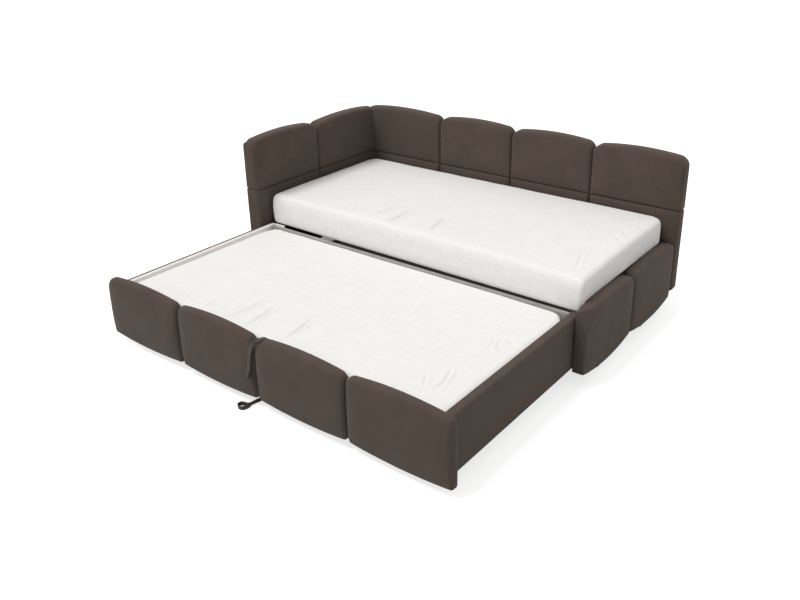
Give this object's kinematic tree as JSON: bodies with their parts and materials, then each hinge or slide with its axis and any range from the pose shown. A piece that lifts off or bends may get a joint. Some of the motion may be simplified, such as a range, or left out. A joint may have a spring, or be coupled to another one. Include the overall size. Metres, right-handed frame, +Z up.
{
  "type": "corner daybed with roll-out bed",
  "caption": "Upholstered corner daybed with padded walls on three sides and a second, low bed on castors that rolls out from under it.",
  "frame": {"origin": "on the floor, under the middle of the back wall's board, at its middle foot", "axes": "+X along the bed towards the foot wall, +Y to the back wall, +Z up; the lower bed stands rolled out towards -Y"},
  "size_m": [2.18, 2.1366, 0.868],
  "materials": {
    "upholstery": "fine plain weave, dark grey brown",
    "mattress_cloth": "linen weave, near white",
    "pale_lining": "smooth cream lining cloth",
    "webbing": "narrow dark webbing",
    "felt": "pressed felt",
    "timber_board": "bare board",
    "slat_wood": "smooth bent ply",
    "grey_steel": "satin grey paint",
    "dark_steel": "black powder coat",
    "plated_steel": "zinc plated",
    "foot_plastic": "moulded black",
    "castor_plastic": "moulded dark grey"
  },
  "bodies": {
    "bed": {"back_board": "timber_board", "head_board": "timber_board", "foot_board": "timber_board", "back_pad_upper_1": "upholstery", "back_pad_upper_2": "upholstery", "back_pad_upper_3": "upholstery", "back_pad_upper_4": "upholstery", "back_pad_lower_1": "upholstery", "back_pad_lower_2": "upholstery", "back_pad_lower_3": "upholstery", "back_pad_lower_4": "upholstery", "head_pad_upper_1": "upholstery", "head_pad_upper_2": "upholstery", "head_pad_lower_1": "upholstery", "head_pad_lower_2": "upholstery", "foot_pad_1": "upholstery", "foot_pad_2": "upholstery", "corner_screws": "plated_steel", "wall_feet": "foot_plastic", "felt_glides": "felt", "base_front_tube": "dark_steel", "base_rear_tube": "dark_steel", "base_cross_tube_1": "dark_steel", "base_cross_tube_2": "dark_steel", "base_head_bracket": "dark_steel", "base_foot_bracket": "dark_steel", "base_slats": "slat_wood", "upper_mattress": "mattress_cloth"},
    "trundle": {"front_board": "timber_board", "front_pad_1": "upholstery", "front_pad_2": "upholstery", "front_pad_3": "upholstery", "front_pad_4": "upholstery", "front_screws": "plated_steel", "head_rail": "timber_board", "head_rail_cover": "upholstery", "head_rail_lining": "pale_lining", "foot_rail": "timber_board", "foot_rail_cover": "upholstery", "foot_rail_lining": "pale_lining", "rear_rail": "grey_steel", "rear_corner_panel": "pale_lining", "front_ledger": "timber_board", "rear_ledger": "timber_board", "lower_slats": "slat_wood", "lower_mattress": "mattress_cloth", "head_bearer": "timber_board", "middle_bearer": "timber_board", "foot_bearer": "timber_board", "castor_forks": "plated_steel", "castor_axles": "plated_steel", "upper_strap": "webbing", "lower_strap": "webbing"},
    "wheel_head_front": {"castor_wheel_head_front": "castor_plastic"},
    "wheel_head_rear": {"castor_wheel_head_rear": "castor_plastic"},
    "wheel_middle_front": {"castor_wheel_middle_front": "castor_plastic"},
    "wheel_middle_rear": {"castor_wheel_middle_rear": "castor_plastic"},
    "wheel_foot_front": {"castor_wheel_foot_front": "castor_plastic"},
    "wheel_foot_rear": {"castor_wheel_foot_rear": "castor_plastic"}
  },
  "joints": [
    {"name": "trundle_slide", "type": "slide", "parent": "bed", "child": "trundle", "axis": [0, 1, 0], "range_m": [0, 0.94]},
    {"name": "wheel_head_front_spin", "type": "hinge", "parent": "trundle", "child": "wheel_head_front", "pos_m": [-0.892, -1.932, 0.0375], "axis": [1, 0, 0], "continuous": true},
    {"name": "wheel_head_rear_spin", "type": "hinge", "parent": "trundle", "child": "wheel_head_rear", "pos_m": [-0.892, -1.097, 0.0375], "axis": [1, 0, 0], "continuous": true},
    {"name": "wheel_middle_front_spin", "type": "hinge", "parent": "trundle", "child": "wheel_middle_front", "pos_m": [0.0215, -1.932, 0.0375], "axis": [1, 0, 0], "continuous": true},
    {"name": "wheel_middle_rear_spin", "type": "hinge", "parent": "trundle", "child": "wheel_middle_rear", "pos_m": [0.0215, -1.097, 0.0375], "axis": [1, 0, 0], "continuous": true},
    {"name": "wheel_foot_front_spin", "type": "hinge", "parent": "trundle", "child": "wheel_foot_front", "pos_m": [0.935, -1.932, 0.0375], "axis": [1, 0, 0], "continuous": true},
    {"name": "wheel_foot_rear_spin", "type": "hinge", "parent": "trundle", "child": "wheel_foot_rear", "pos_m": [0.935, -1.097, 0.0375], "axis": [1, 0, 0], "continuous": true}
  ],
  "couplings": [
    {"joint": "wheel_head_front_spin", "follows": "trundle_slide", "rad_per_m": -26.667},
    {"joint": "wheel_head_rear_spin", "follows": "trundle_slide", "rad_per_m": -26.667},
    {"joint": "wheel_middle_front_spin", "follows": "trundle_slide", "rad_per_m": -26.667},
    {"joint": "wheel_middle_rear_spin", "follows": "trundle_slide", "rad_per_m": -26.667},
    {"joint": "wheel_foot_front_spin", "follows": "trundle_slide", "rad_per_m": -26.667},
    {"joint": "wheel_foot_rear_spin", "follows": "trundle_slide", "rad_per_m": -26.667}
  ]
}
